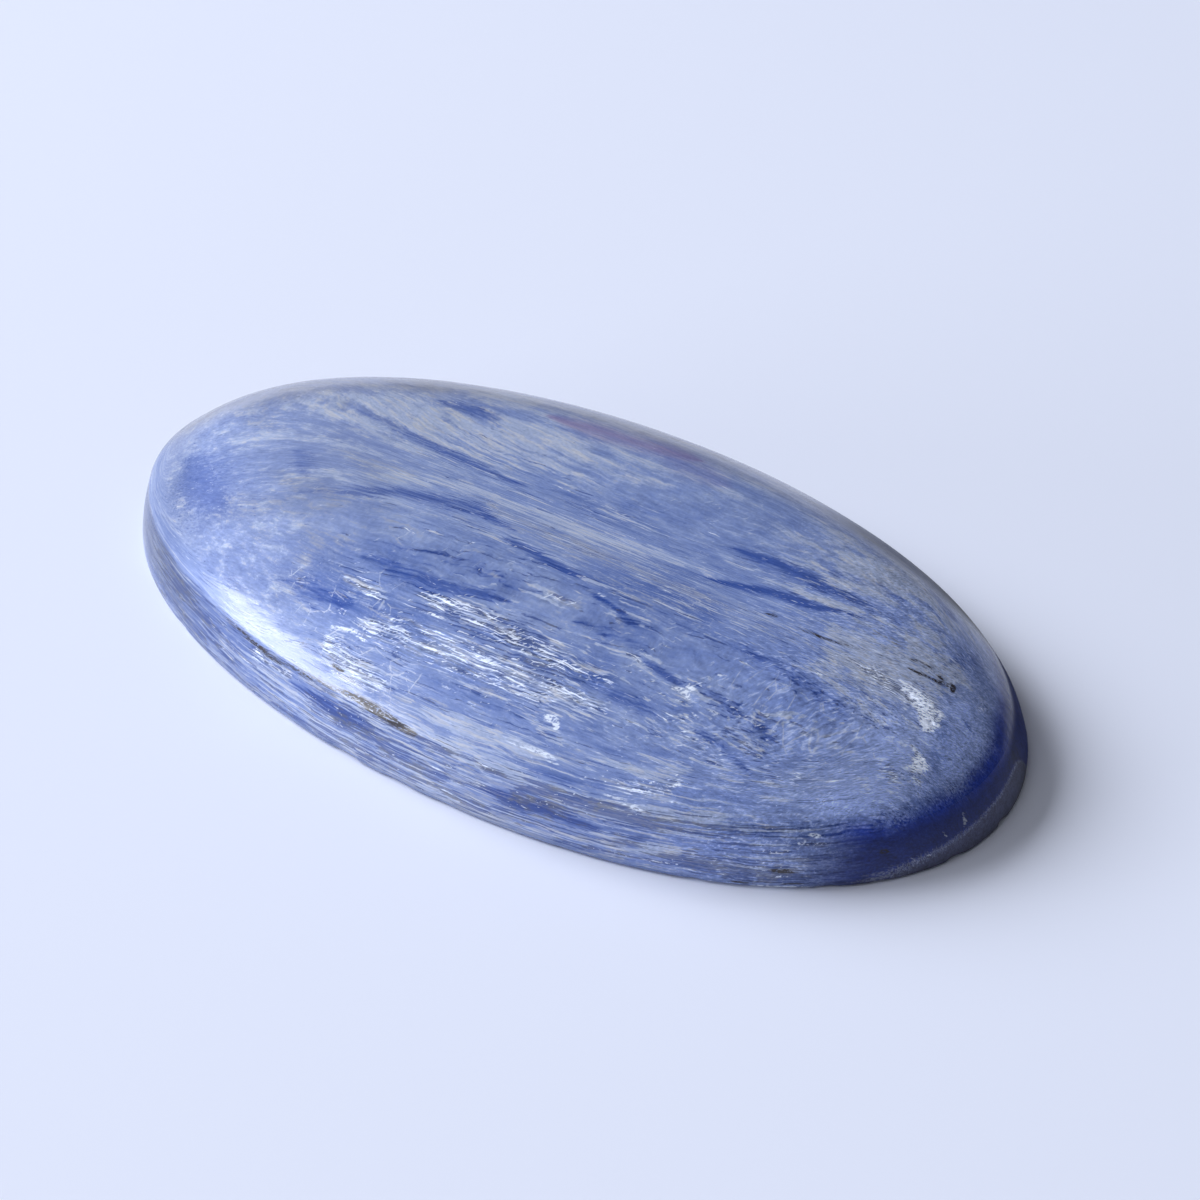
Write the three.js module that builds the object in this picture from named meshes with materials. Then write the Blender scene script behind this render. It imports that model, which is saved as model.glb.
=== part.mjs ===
// Oval cabochon of blue kyanite: one polished natural stone with a low, broad-shouldered dome and a flat back.
// The origin is the middle of the flat back, +X runs along the oval towards its fuller end, and +Z is up.
import * as THREE from 'three';

// Driving dimensions, in millimetres
const length = 42;
const width = 22.2;
const middleHeight = 6.4;
const edgeBevel = 0.15;

// Shape of the oval and of the dome
const outlinePower = 2.06; // 2 is an ellipse, and more is squarer
const girdleHeight = 2.78; // where the steep side meets the dome, in millimetres over the middle
const girdleReach = 0.965; // how far out the dome starts, as a share of the outline's reach
const sidePower = 1.5; // how the side leans in: more keeps it upright for longer
const domePower = 5.2; // how broad the flat of the top is: more gives a fuller shoulder
const fullness = 0.07; // how much wider the +X end is than a true oval
const lean = -0.12; // how much lower the +X end is than the middle

// Facets round the oval, up the steep side, and over the dome to its top
const stepsRound = 96;
const stepsSide = 5;
const stepsDome = 14;

// Section of the stone on a radius from 0 to 1: across the flat back, over the bevel, up the steep side to the
// girdle, and over the dome. The side leans in as height^sidePower, and the dome falls off as radius^domePower.
function domeSection() {
  const points = [new THREE.Vector2(0, 0), new THREE.Vector2(1, 0)];
  for (let step = 0; step <= stepsSide; step += 1) {
    const part = step / stepsSide;
    const radius = 1 - (1 - girdleReach) * part ** sidePower;
    points.push(new THREE.Vector2(radius, edgeBevel + (girdleHeight - edgeBevel) * part));
  }
  for (let step = 1; step < stepsDome; step += 1) {
    const rise = Math.sin((step / stepsDome) * (Math.PI / 2)) ** 2;
    const radius = girdleReach * (1 - rise) ** (1 / domePower);
    points.push(new THREE.Vector2(radius, girdleHeight + (middleHeight - girdleHeight) * rise));
  }
  points.push(new THREE.Vector2(0, middleHeight));
  return points;
}

// Distance from the middle of the oval to its outline in the direction of an angle on the unit circle.
function outlineReach(cosine, sine) {
  const sum = Math.abs(cosine) ** outlinePower + Math.abs(sine) ** outlinePower;
  return sum ** (-1 / outlinePower);
}

// Moves the vertices of the round dome out to the oval, fuller and lower towards +X.
// Below the bevel's height every vertex is drawn in by as much as it is below it.
function shapeOval(geometry) {
  const position = geometry.attributes.position;
  for (let i = 0; i < position.count; i += 1) {
    const angle = Math.atan2(position.getY(i), position.getX(i));
    const share = Math.hypot(position.getX(i), position.getY(i));
    const reach = share * outlineReach(Math.cos(angle), Math.sin(angle));
    const along = Math.cos(angle) * reach;
    const x = along * (length / 2);
    const y = Math.sin(angle) * reach * (width / 2) * (1 + fullness * along);
    const drawnIn = Math.max(edgeBevel - position.getZ(i), 0);
    const distance = Math.hypot(x, y);
    const kept = distance > drawnIn ? (distance - drawnIn) / distance : 0;
    const z = position.getZ(i) > edgeBevel ? position.getZ(i) * (1 + lean * along) : position.getZ(i);
    position.setXYZ(i, x * kept, y * kept, z);
  }
  geometry.computeVertexNormals();
  return geometry;
}

const dome = new THREE.LatheGeometry(domeSection(), stepsRound);
dome.rotateX(Math.PI / 2);

const polishedKyanite = new THREE.MeshStandardMaterial({ color: 0x7688b6, roughness: 0.25, metalness: 0 });
const stone = new THREE.Mesh(shapeOval(dome), polishedKyanite);
stone.name = 'kyanite_cabochon';

const cabochon = new THREE.Group();
cabochon.add(stone);

export default cabochon;
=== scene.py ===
# %% [markdown]
# # An oval cabochon of blue kyanite
#
# The object is one natural stone: a slice of fibrous blue kyanite, ground to an oval with a low dome and
# polished. It has no setting, so the whole model is a single closed shell. The CAD model fixes how long, wide
# and high the stone is. This script makes the fine surface, the grain inside it and its polish.

import bpy
import numpy as np
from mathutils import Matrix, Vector


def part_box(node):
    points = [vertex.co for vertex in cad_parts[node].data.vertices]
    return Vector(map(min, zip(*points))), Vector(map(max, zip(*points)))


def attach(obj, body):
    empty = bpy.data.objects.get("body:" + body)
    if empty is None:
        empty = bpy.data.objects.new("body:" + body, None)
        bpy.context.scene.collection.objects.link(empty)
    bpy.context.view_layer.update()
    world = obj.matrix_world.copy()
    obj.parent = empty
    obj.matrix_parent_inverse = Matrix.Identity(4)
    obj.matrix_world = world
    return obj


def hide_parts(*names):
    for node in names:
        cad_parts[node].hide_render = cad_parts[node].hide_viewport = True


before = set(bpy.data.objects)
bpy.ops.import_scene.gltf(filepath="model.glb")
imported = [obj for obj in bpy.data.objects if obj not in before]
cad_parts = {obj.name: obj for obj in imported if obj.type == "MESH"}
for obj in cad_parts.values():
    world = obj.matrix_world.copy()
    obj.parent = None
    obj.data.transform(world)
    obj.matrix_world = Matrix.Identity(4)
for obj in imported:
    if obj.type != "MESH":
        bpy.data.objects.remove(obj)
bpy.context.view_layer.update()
stone_low, stone_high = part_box("kyanite_cabochon")
METRE = 1000.0  # shapes below are in millimetres, as a stone cutter measures, and a metre is this many
half_length = METRE * (stone_high.x - stone_low.x) / 2
box_width = METRE * (stone_high.y - stone_low.y)
top_height = METRE * stone_high.z
print(f"stone: {2 * half_length:.1f} long, {box_width:.1f} wide and {top_height:.2f} high, in mm")

# %% [markdown]
# ## The oval, its girdle and its dome
#
# A cutter grinds the stone round a template, which leaves a steep side, and then rocks it against the wheel
# to shape the dome. The two meet in a soft line, the girdle, which wears away towards the +X end. Sculpting
# would do, but a formula keeps the exact oval that the CAD model has. A superellipse gives the outline, a
# little fuller towards one end. A section from the top over the girdle to the rim serves every direction.

# %% The outline
OUTLINE_POWER = 2.06
FULLNESS = 0.07


def outline_reach(angle):
    """Distance from the middle of a unit superellipse to its outline, in the direction of an angle:
    the sum of the powers of cosine and sine, to the power of minus one over the outline's power."""
    total = np.abs(np.cos(angle)) ** OUTLINE_POWER + np.abs(np.sin(angle)) ** OUTLINE_POWER
    return total ** (-1 / OUTLINE_POWER)


TRIAL_STEPS = 3601
trial = np.linspace(0, 2 * np.pi, TRIAL_STEPS)
bulge = 1 + FULLNESS * outline_reach(trial) * np.cos(trial)
half_width = box_width / 2 / (outline_reach(trial) * np.sin(trial) * bulge).max()


def oval_point(angle, share):
    """Plan position at a share of the outline's reach: the unit outline stretched to the half length and
    half width, and wider in proportion to how far along it is."""
    along = share * outline_reach(angle) * np.cos(angle)
    across = share * outline_reach(angle) * np.sin(angle)
    return half_length * along, half_width * across * (1 + FULLNESS * along)


def share_at(x, y):
    """How far out a plan position is, 0 in the middle and 1 on the outline: the reverse of oval_point."""
    along = x / half_length
    across = y / half_width / (1 + FULLNESS * along)
    return (np.abs(along) ** OUTLINE_POWER + np.abs(across) ** OUTLINE_POWER) ** (1 / OUTLINE_POWER)


def ease(low, high, value):
    """0 at low, 1 at high, and a smooth step between them: three times the part squared, less twice the
    part cubed."""
    part = np.clip((value - low) / (high - low), 0, 1)
    return part * part * (3 - 2 * part)


print(f"half length {half_length:.2f}, half width {half_width:.2f}")

# %% The section
DOME_POWER = 5.2
GIRDLE_REACH = 0.965
GIRDLE_RISE = 0.421
SIDE_POWER = 1.5
GIRDLE_SOFTNESS = 0.25
ROUND_POWER = 4.2
LEAN = -0.12
EDGE_BEVEL = 0.15
MEAN_REACH = 15.0
DOME_STEPS, SIDE_STEPS, EVEN_STEPS = 3001, 1501, 6001
ROUND_FROM, ROUND_TO = 9, 17  # the section turns into a round one between these places along the stone

# The dome falls off as share to the dome's power, and the side leans in as rise to the side's power. Both
# are put in one row at even steps of length, and a bell-shaped average over a short length softens the
# girdle.
dome_share = np.linspace(0, GIRDLE_REACH, DOME_STEPS)
dome_rise = GIRDLE_RISE + (1 - GIRDLE_RISE) * (1 - (dome_share / GIRDLE_REACH) ** DOME_POWER)
side_rise = np.linspace(GIRDLE_RISE, 0, SIDE_STEPS)[1:]
side_share = 1 - (1 - GIRDLE_REACH) * (side_rise / GIRDLE_RISE) ** SIDE_POWER
sharp = np.array([np.append(dome_share, side_share), np.append(dome_rise, side_rise)])
size_of_step = np.hypot(np.diff(sharp[0]) * MEAN_REACH, np.diff(sharp[1]) * top_height)
walked = np.append(0, np.cumsum(size_of_step))
section_walk = np.linspace(0, 1, EVEN_STEPS)
even = np.array([np.interp(section_walk * walked[-1], walked, row) for row in sharp])
half_window = int(GIRDLE_SOFTNESS / walked[-1] * len(section_walk))
window = np.hanning(2 * half_window + 1)
padded = np.pad(even, ((0, 0), (half_window, half_window)), mode="reflect", reflect_type="odd")
section_share, section_rise = (np.convolve(row, window / window.sum(), "valid") for row in padded)
print(f"the section is {walked[-1]:.1f} mm long from the top to the rim")

# %% Heights over the plan
def rise_at(share, x):
    """Rise at a share of the reach: the section with the girdle, which turns towards the +X end into a
    plain round one, where share to a power plus rise squared is one."""
    girdled = np.interp(share, section_share, section_rise)
    rounded = np.sqrt(np.clip(1 - share**ROUND_POWER, 0, None))
    return girdled + (rounded - girdled) * ease(ROUND_FROM, ROUND_TO, x)


def dome_height(x, y, middle):
    """Height over a plan position: the bevel, plus the rest of the height times the section's rise there, all
    leaned down towards +X."""
    rise = rise_at(share_at(x, y), x)
    return (EDGE_BEVEL + (middle - EDGE_BEVEL) * rise) * (1 + LEAN * x / half_length)


print(f"rise of the plain section half way out: {rise_at(0.5, 0):.2f}")

# %% Scale to the crown
# The lean puts the crown left of the middle and above it, so the middle is scaled a few times, until the
# crown is as high as the CAD model's.
RIDGE_STEPS = 4001
CROWN_ROUNDS = 8
ridge = np.linspace(-half_length, 0, RIDGE_STEPS)
middle_height = top_height
for _ in range(CROWN_ROUNDS):
    middle_height *= top_height / dome_height(ridge, 0 * ridge, middle_height).max()
print(f"height in the middle {middle_height:.2f}, girdle at {EDGE_BEVEL + middle_height * GIRDLE_RISE:.2f}")

# %% [markdown]
# ## The grid over the dome
#
# A polar grid crowds its points in the middle, where a cabochon is plainest. So a square grid is folded
# onto the disc instead, ring by ring, and the rings are spaced by the length walked over the section, so
# that the steep side gets as many points as the top. The flat back is plain rings inside the same rim.

# %% Fold a square grid over the dome
CELLS = 284
BACK_RINGS = 12


def square_to_disc(a, b):
    """Folds a square of side 2 onto a disc: the larger of the two coordinates is the radius, and the other
    one over it, times an eighth of a turn, is the angle."""
    wide = np.abs(a) >= np.abs(b)
    radius = np.where(wide, a, b)
    safe = np.where(radius == 0, 1, radius)
    angle = np.where(wide, np.pi / 4 * b / safe, np.pi / 2 - np.pi / 4 * a / safe)
    return np.abs(radius), np.where(radius < 0, angle + np.pi, angle)


ticks = np.linspace(-1, 1, CELLS + 1)
walk, angle = square_to_disc(*np.meshgrid(ticks, ticks, indexing="ij"))
share = np.clip(np.interp(walk, section_walk, section_share), 0, 1)
dome_x, dome_y = oval_point(angle, share)
rise = rise_at(share, dome_x)
dome_z = (EDGE_BEVEL + (middle_height - EDGE_BEVEL) * rise) * (1 + LEAN * dome_x / half_length)
dome_z = np.where(walk == walk.max(), EDGE_BEVEL, dome_z)
dome = np.stack([dome_x, dome_y, dome_z], axis=-1).reshape(-1, 3)
number = np.arange(len(dome)).reshape(CELLS + 1, CELLS + 1)
corners = [number[:-1, :-1], number[1:, :-1], number[1:, 1:], number[:-1, 1:]]
dome_faces = np.stack(corners, axis=-1).reshape(-1, 4)
rim = np.concatenate([number[:-1, 0], number[-1, :-1], number[:0:-1, -1], number[0, :0:-1]])
print(f"dome: {len(dome)} points, {len(rim)} of them on the rim")

# %% [markdown]
# ## Bevel and flat back
#
# The sharp lower edge is broken by a small bevel, or it would chip. Under it the back is ground flat. It
# could be one big face, but rings that shrink to the middle shade evenly. A fan of triangles closes the
# last ring.

# %% Close the shell underneath
rim_distance = np.linalg.norm(dome[rim, :2], axis=1, keepdims=True)
foot = dome[rim, :2] * (rim_distance - EDGE_BEVEL) / rim_distance
kept = 1 - np.arange(BACK_RINGS)[:, None, None] / BACK_RINGS
back_xy = np.concatenate([(foot[None] * kept).reshape(-1, 2), np.zeros((1, 2))])
back = np.column_stack([back_xy, np.zeros(len(back_xy))])
rows = np.concatenate([rim, len(dome) + np.arange(BACK_RINGS * len(rim))]).reshape(-1, len(rim))
beside = np.roll(rows, -1, axis=1)
back_faces = np.stack([rows[:-1], rows[1:], beside[1:], beside[:-1]], axis=-1).reshape(-1, 4)
centre = len(dome) + len(back) - 1
fan_faces = np.column_stack([rows[-1], np.full(len(rim), centre), beside[-1]])
smooth_points = np.concatenate([dome, back])
triangles = 2 * len(dome_faces) + 2 * len(back_faces) + len(fan_faces)
print(f"shell: {len(smooth_points)} points, {triangles} triangles")

# %% [markdown]
# ## Natural unevenness
#
# Nothing in a natural stone has a ruled edge. Every mark and dent below is therefore shifted a little by a
# cloud: random numbers on a lattice, blended smoothly between lattice points. A fixed seed gives the same
# stone each time.

# %% A cloud of smooth random values
LATTICE = 48
CORNERS = np.array([(i, j, k) for i in (0, 1) for j in (0, 1) for k in (0, 1)])


def cloud(places, cell, seed):
    """Smooth random value from -1 to 1: the eight random corners of the lattice cell around each place,
    blended by three times the part squared minus twice the part cubed."""
    table = np.random.default_rng(seed).uniform(-1, 1, (LATTICE, LATTICE, LATTICE))
    scaled = places / np.asarray(cell, float)
    low = np.floor(scaled).astype(int)
    part = scaled - low
    part = part * part * (3 - 2 * part)
    value = np.zeros(len(places))
    for corner in CORNERS:
        weight = np.where(corner == 1, part, 1 - part).prod(axis=1)
        value += weight * table[tuple(((low + corner) % LATTICE).T)]
    return value


x, y, z = smooth_points.T
share_of_reach = share_at(x, y)
print(f"share of the reach: {share_of_reach.min():.2f} to {share_of_reach.max():.2f}")

# %% [markdown]
# ## The run of the grain
#
# Kyanite grows as blades, and a fibrous piece is a sheaf of them. The sheaf runs along this stone, arches
# over near the left end, and on the steep sides it follows the rim. So each point of the shell gets grain
# coordinates: how far along the fibres it is, how far across them, and how high. The finish then draws long
# thin streaks in those coordinates, and the streaks bend with the sheaf. Fibres that follow both sides have
# to part at each end. At the left end they part on the far side, where a little end grain shows.

# %% Grain coordinates
def sway(slope, x0, reach, y0, spread):
    """How far the fibres are shifted sideways by one bend: its slope times a hyperbolic tangent along the
    stone, fading as a bell curve across it."""
    return slope * reach * np.tanh((x - x0) / reach) * np.exp(-(((y - y0) / spread) ** 2))


bends = (
    sway(0.55, -12.5, 3.6, -2.6, 2.4)
    + sway(-0.22, -11.0, 5.0, 2.8, 2.2)
    + sway(0.16, -4.5, 2.5, -1.0, 1.5)
    + sway(0.14, 10.0, 3.5, 1.6, 1.6)
    + sway(0.22, 15.5, 2.5, 0.6, 1.4)
)
round_the_rim = np.arctan2(np.abs(y) / half_width, x / half_length)
PARTING_SHIFT = 0.6
side = np.sign(y) * np.abs(np.sin(round_the_rim)) - PARTING_SHIFT * ease(-8, -18, x)
off_parting = 0.25 + 0.3 * ease(-6, 4, x)
left_half = ease(-3, -11, x)
rim_zone = 0.8 + 0.12 * left_half
follows_rim = ease(rim_zone, rim_zone + 0.15 - 0.08 * left_half, share_of_reach)
follows_rim *= ease(0.65 * off_parting - 0.1575, off_parting, np.abs(side))
along = x + follows_rim * (MEAN_REACH * (np.pi / 2 - round_the_rim) - x)
across = y - bends + follows_rim * (np.sign(side) * half_width * share_of_reach - y + bends)
grain = np.column_stack([along, across, z])
print(f"grain: {across.min():.1f} to {across.max():.1f} mm across the fibres")

# %% [markdown]
# ## Marks in the stone
#
# The markings are pictured as strokes of a soft brush over the stone, each laid along a route of a few
# points. On the top a point is its place in plan, and on the side, which is nearly upright, it is its place
# along the stone and its height. After the route come the width in millimetres and the strength, and for
# some the taper: a stroke is strongest on its route and narrows to its ends. The brush is shaken a little by
# clouds, so that no stroke is ruled, and the fibres break up its edges later, in the finish.

# %% The brush
wander = np.column_stack([cloud(grain, (2.2, 0.9, 0.9), seed) for seed in (11, 12, 13)])
wander += 0.45 * np.column_stack([cloud(grain, (0.9, 0.3, 0.3), seed) for seed in (14, 15, 16)])
WANDER = np.array([0.28, 0.14, 0.14])  # in millimetres along, across and up
brushed = smooth_points + WANDER * wander
print(f"the brush wanders up to {np.abs(WANDER * wander).max():.2f} mm")

# %% Places on the stone
def outward(places, step=0.01):
    """Outward direction of the dome: one upwards, less its slope along each axis, over a short step."""
    east = dome_height(places[:, 0] + step, places[:, 1], middle_height)
    west = dome_height(places[:, 0] - step, places[:, 1], middle_height)
    north = dome_height(places[:, 0], places[:, 1] + step, middle_height)
    south = dome_height(places[:, 0], places[:, 1] - step, middle_height)
    direction = np.column_stack([west - east, south - north, np.full(len(places), 2 * step)])
    return direction / np.linalg.norm(direction, axis=1, keepdims=True)


def on_top(*places):
    """Points on the dome over these places in plan."""
    plan = np.array(places, float)
    return np.column_stack([plan, dome_height(plan[:, 0], plan[:, 1], middle_height)])


def on_side(*places, front=True):
    """Points on the steep side at these lengths along the stone and heights: the section gives the share of
    the reach at that height, and the outline is solved for the width there."""
    along, height = np.array(places, float).T
    unit = along / half_length
    rise = (height / (1 + LEAN * unit) - EDGE_BEVEL) / (middle_height - EDGE_BEVEL)
    girdled = np.interp(rise, section_rise[::-1], section_share[::-1])
    rounded = np.clip(1 - np.clip(rise, 0, 1) ** 2, 0, 1) ** (1 / ROUND_POWER)
    share = girdled + (rounded - girdled) * ease(ROUND_FROM, ROUND_TO, along)
    width = np.clip(share**OUTLINE_POWER - np.abs(unit) ** OUTLINE_POWER, 0, None) ** (1 / OUTLINE_POWER)
    sign = -1 if front else 1
    return np.column_stack([along, sign * half_width * width * (1 + FULLNESS * unit), height])


print(f"the top at the middle is at {on_top((0, 0))[0, 2]:.2f} mm")

# %% Strokes of the brush
THINNEST = 0.04


def stroke(route, width, strength=1.0, taper=0.6):
    """Strength of one brush stroke at every point: a bell curve of the distance to the route over the
    local width, which is the width times four times progress times the rest of it, to the power of the
    taper."""
    value = np.zeros(len(brushed))
    legs = len(route) - 1
    for leg in range(legs):
        start = route[leg]
        run = route[leg + 1] - start
        part = np.clip((brushed - start) @ run / (run @ run), 0, 1)
        distance = np.linalg.norm(brushed - start - part[:, None] * run, axis=1)
        progress = (leg + part) / legs
        local = width * np.clip(4 * progress * (1 - progress), THINNEST, 1) ** taper
        value = np.maximum(value, np.exp(-((distance / local) ** 2)))
    return strength * value


def strokes(*settings):
    """The strongest of several strokes at every point."""
    return np.max([stroke(*setting) for setting in settings], axis=0)


print(f"a stroke thins out to {THINNEST:.0%} of its width before the taper")

# %% [markdown]
# ## Bands and streaks
#
# Blades that let less light through stand out as cream bands, weathered ones as ash grey bands, and the
# deepest coloured ones as royal blue streaks. They could be one noise pattern with thresholds, but then none
# would lie where it should, so each band gets its own stroke. The far side has a few strokes as well.

# %% Cream bands
cream = strokes(
    (on_top((-12.4, -3.5), (-10, -2.4), (-8.5, -1.7), (-6.5, -0.9), (-4.5, -0.3), (-2, 0)), 0.45, 1.0),
    (on_top((-4, -0.2), (-1, 0), (2, -0.1), (4, 0.1), (6, 0.3)), 0.48, 1.05),
    (on_top((-16.5, -2), (-15, -1.8), (-13, -1), (-11, -0.6), (-8.5, -0.3)), 0.4, 0.7),
    (on_top((-13, 3), (-12.4, 2.84), (-9.3, 2.15), (-6.2, 1.65)), 0.24, 1.3),
    (on_top((-14.5, 1.8), (-13.7, 1.6), (-10.6, 1), (-7.6, 0.6)), 0.28, 1.0),
    (on_top((-12.5, 4), (-10, 3.3), (-7.5, 2.9)), 0.8, 1.1),
    (on_top((-9, 6), (-6, 6.7), (-3, 6.5), (0, 7)), 0.9, 0.8),
    (on_top((-5.5, 4.2), (-3.5, 4.2), (-1, 3.8)), 0.7, 0.6),
    (on_top((5.2, 3.2), (7, 3.4), (9, 3.4)), 0.22, 0.9),
    (on_top((6.6, 1.6), (7.4, 1.6), (8.6, 1.7)), 0.3, 1.0),
    (on_top((10.2, 1.5), (11.6, 1.75), (13, 2.1)), 0.2, 1.5),
    (on_top((10.6, 4.9), (13.2, 5.3), (15, 5.2)), 0.5, 1.5),
    (on_top((10.5, 3.9), (12.5, 4.4), (14.5, 4.3)), 0.3, 1.1),
    (on_top((12.6, 5.7), (13.3, 5.7)), 0.4, 0.9),
    (on_top((12, 0.4), (14.5, 0.2), (16.5, 0.5)), 0.6, 0.8),
    (on_top((15, 2), (16, 3.2)), 0.8, 0.6),
    (on_side((2.6, 3.9), (4, 3.95), (5.2, 3.8)), 0.28, 1.2),
    (on_side((8.2, 4.0), (9.5, 4.0), (10.6, 4.2)), 0.3, 1.0),
    (on_side((9.4, 1.3), (10.4, 1.45), (11.3, 1.3)), 0.3, 0.9),
    (on_side((-14, 3), (-8, 3.6), (-2, 3.4), front=False), 0.5, 0.8),
    (on_side((-6, 1.6), (1, 2.2), (7, 2), front=False), 0.35, 0.7),
    (on_side((3, 3.6), (9, 3.3), (13, 2.6), front=False), 0.4, 0.7),
)
print(f"cream on {cream.mean():.1%} of the shell")

# %% Ash bands
ash = strokes(
    (on_top((-3, -0.8), (1, -0.9), (6, -1.1), (10, -1.2), (15, -0.8)), 1.0, 0.9, 0.3),
    (on_top((3, -2.1), (7, -2), (9, -2.2)), 0.7, 0.6),
    (on_top((-11, -0.7), (-9, -1), (-7.3, -1), (-6, -0.8)), 0.45, 0.7),
    (on_top((-14.5, -0.6), (-13, -0.7)), 0.7, 0.5),
    (on_top((-13.5, 4.5), (-11, 5.5), (-8, 6)), 0.7, 0.6),
    (on_side((-12, 0.5), (-4, 0.5), (2, 0.45), (9, 0.4)), 0.4, 0.8, 0.2),
    (on_side((7, 1.0), (9, 1.2), (11.5, 1.0)), 0.5, 0.6),
)
print(f"ash on {ash.mean():.1%}")

# %% Royal blue streaks
royal = strokes(
    (on_top((-17, -3), (-15.6, -4.3), (-13.8, -5.2)), 1.1, 1.0, 0.3),
    (on_top((-12.2, -1.6), (-11.4, -2), (-11, -3)), 0.6, 0.6),
    (on_top((-8.6, 4.4), (-7, 4.5), (-5.6, 4.5)), 0.5, 0.8),
    (on_top((-12, 2), (-9, 1.6), (-5, 1.2), (-2, 1.1)), 0.3, 0.6),
    (on_top((-11, -3.9), (-9.3, -3.3), (-6.6, -1.9), (-3.2, -1.2), (-1, -1.5)), 0.36, 0.7),
    (on_top((-1.6, -2.1), (0.5, -2.4), (2.6, -2.4)), 0.28, 0.9),
    (on_top((-6.2, -6), (-4.5, -5.8), (-1.7, -5.7), (0.6, -5.3)), 0.5, 0.65),
    (on_top((-8.5, -7.6), (-6.4, -7.9), (-5, -7.9)), 0.6, 0.6),
    (on_top((-6, -5.2), (-2, -4.6), (1, -4.4)), 0.7, 0.3),
    (on_top((6.4, 0), (9, 0.65), (11, 1.1), (13.4, 1.8)), 0.23, 1.25),
    (on_top((6.4, 2.3), (9, 2.5), (11.3, 2.5), (14.4, 2.5)), 0.34, 1.1),
    (on_top((10.4, 3.6), (12, 3.8), (14.2, 4.1)), 0.28, 0.7),
    (on_top((3.1, -3.1), (3.8, -3.3), (5.2, -3.7), (6.7, -4.2)), 0.13, 1.3),
    (on_top((3.3, -4.9), (5.2, -4.7), (7, -4.7)), 0.35, 0.5),
    (on_top((6.8, -5.3), (8, -5.45), (9, -5.6)), 0.22, 0.8),
    (on_top((9.4, -5.2), (11.5, -5.4), (13, -5.8)), 0.5, 0.5),
    (on_top((10, -6.9), (11.2, -6.95), (12.6, -7.1)), 0.18, 0.8),
    (on_top((5, -6.9), (7, -7), (9, -7.1)), 0.3, 0.5),
    (on_top((9.5, -2.7), (12.4, -2.7), (15, -3.2)), 0.5, 0.45),
    (on_top((14.3, 6.1), (15.2, 5.6), (15.9, 4.9)), 0.28, 0.9),
    (on_top((16.8, 5.6), (17.8, 4.9), (18.6, 4.2)), 0.5, 0.6),
    (on_top((16.9, 2.3), (17.5, 3.2), (17.6, 4)), 0.6, 0.6),
    (on_top((18.5, 0.1), (19, -0.1)), 0.18, 1.3),
    (on_side((-7, 2.3), (-4.5, 2.2), (-2, 2.0)), 0.3, 0.9),
    (on_side((2.5, 1.8), (5, 1.8), (8, 1.6)), 0.35, 0.9),
    (on_side((4.6, 3.2), (8, 3.3)), 0.25, 0.5),
    (on_side((-15, 1.5), (-9, 2.4), (-4, 2.3), front=False), 0.4, 0.8),
    (on_side((-1, 2.9), (4, 3), (8, 2.7), front=False), 0.3, 0.8),
    (on_side((5, 1.2), (11, 1.4), (15, 1.2), front=False), 0.4, 0.7),
)
print(f"royal blue on {royal.mean():.1%}")

# %% [markdown]
# ## The navy end
#
# At the +X end the girdle is worn round and the stone is at its clearest, so it looks navy. Below the navy a
# thin strip along the edge is painted dull grey, as a painted reflection of the shaded paper, and a pale
# scratched line parts the two. Both are bands of the share of the reach, with blotches to shake their edges.

# %% Navy and the grey strip
STRIP_START = 0.984
STRIP_EDGE = 0.01
blotches = cloud(smooth_points, (1.3, 1.3, 1.3), 41) + 0.5 * cloud(smooth_points, (0.5, 0.5, 0.5), 42)
band_place = (share_of_reach - STRIP_START + 0.0025 * y) / STRIP_EDGE  # below nought it is above the strip
band_place -= 4 * ease(17, 12, x) + 4 * ease(0.8, 3, y)
navy_start = 0.945 + 0.0042 * np.clip(1 - brushed[:, 1], 0, 3.5)
navy = ease(navy_start - 0.04, navy_start + 0.012, share_of_reach + 0.01 * blotches)
navy *= ease(16, 18.8, x + 0.15 * np.abs(y + 1) + 0.2 * blotches) * ease(7.5, 5.5, y)
print(f"navy on {navy.mean():.1%}")

# %% [markdown]
# ## Stains, silver and scratches
#
# Iron has crept into a few open cracks and left dark stains. Where blades part under the polish, thin layers
# of air reflect like silver flakes, and the brightest nicks and scratches glint. One violet band is mixed
# into the blue near the far edge.

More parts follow.
